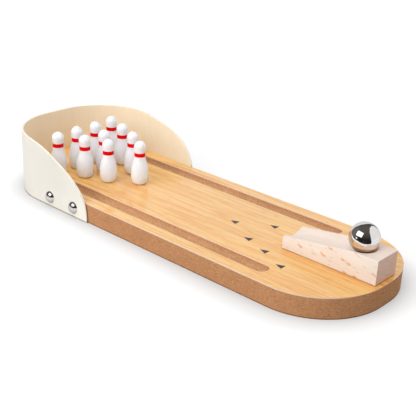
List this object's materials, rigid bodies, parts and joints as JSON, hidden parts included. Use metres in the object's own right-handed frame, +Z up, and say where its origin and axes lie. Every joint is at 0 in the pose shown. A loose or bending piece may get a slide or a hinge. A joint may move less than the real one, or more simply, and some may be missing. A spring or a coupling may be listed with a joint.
{
  "type": "tabletop bowling game",
  "caption": "Miniature bowling lane with gutters, a bent fence round the pin end, loose pins, a grooved launching ramp and a steel ball.",
  "frame": {"origin": "middle of the footprint, on the underside", "axes": "+Z up, +Y along the lane from the player to the pins, +X to the player's right"},
  "size_m": [0.1084, 0.2916, 0.0441],
  "materials": {
    "fibreboard": "raw cut fibreboard, fine matt fleck",
    "wood_grain_sheet": "satin sheet with fine lengthwise grain",
    "dart_ink": "flat dark print",
    "fence_sheet": "thin bent sheet, cream outside and bare beige inside",
    "tack_steel": "bright polished dome",
    "beech": "sanded beech with short flecks",
    "ball_steel": "mirror-polished steel",
    "pin_white": "smooth white gloss",
    "band_red": "red gloss band"
  },
  "bodies": {
    "lane": {"lane_board": "fibreboard", "lane_veneer": "wood_grain_sheet", "lane_arrows": "dart_ink", "pin_fence": "fence_sheet", "tack_left_front": "tack_steel", "tack_left_rear": "tack_steel", "tack_right_front": "tack_steel", "tack_right_rear": "tack_steel"},
    "ramp": {"ramp": "beech"},
    "ball": {"ball": "ball_steel"},
    "pin_1": {"pin_1": "pin_white", "band_1": "band_red"},
    "pin_2": {"pin_2": "pin_white", "band_2": "band_red"},
    "pin_3": {"pin_3": "pin_white", "band_3": "band_red"},
    "pin_4": {"pin_4": "pin_white", "band_4": "band_red"},
    "pin_5": {"pin_5": "pin_white", "band_5": "band_red"},
    "pin_6": {"pin_6": "pin_white", "band_6": "band_red"},
    "pin_7": {"pin_7": "pin_white", "band_7": "band_red"},
    "pin_8": {"pin_8": "pin_white", "band_8": "band_red"},
    "pin_9": {"pin_9": "pin_white", "band_9": "band_red"},
    "pin_10": {"pin_10": "pin_white", "band_10": "band_red"}
  },
  "joints": [
    {"name": "ramp_aim", "type": "hinge", "parent": "lane", "child": "ramp", "pos_m": [0.0021, -0.12775, 0.0134], "axis": [0, 0, 1], "range_deg": [-12, 12]},
    {"name": "ball_roll", "type": "slide", "parent": "ramp", "child": "ball", "axis": [0, 0.9923, -0.1238], "range_m": [0, 0.047]},
    {"name": "pin_1_lift", "type": "slide", "parent": "lane", "child": "pin_1", "axis": [0, 0, 1], "range_m": [0, 0.05]},
    {"name": "pin_2_lift", "type": "slide", "parent": "lane", "child": "pin_2", "axis": [0, 0, 1], "range_m": [0, 0.05]},
    {"name": "pin_3_lift", "type": "slide", "parent": "lane", "child": "pin_3", "axis": [0, 0, 1], "range_m": [0, 0.05]},
    {"name": "pin_4_lift", "type": "slide", "parent": "lane", "child": "pin_4", "axis": [0, 0, 1], "range_m": [0, 0.05]},
    {"name": "pin_5_lift", "type": "slide", "parent": "lane", "child": "pin_5", "axis": [0, 0, 1], "range_m": [0, 0.05]},
    {"name": "pin_6_lift", "type": "slide", "parent": "lane", "child": "pin_6", "axis": [0, 0, 1], "range_m": [0, 0.05]},
    {"name": "pin_7_lift", "type": "slide", "parent": "lane", "child": "pin_7", "axis": [0, 0, 1], "range_m": [0, 0.05]},
    {"name": "pin_8_lift", "type": "slide", "parent": "lane", "child": "pin_8", "axis": [0, 0, 1], "range_m": [0, 0.05]},
    {"name": "pin_9_lift", "type": "slide", "parent": "lane", "child": "pin_9", "axis": [0, 0, 1], "range_m": [0, 0.05]},
    {"name": "pin_10_lift", "type": "slide", "parent": "lane", "child": "pin_10", "axis": [0, 0, 1], "range_m": [0, 0.05]}
  ]
}
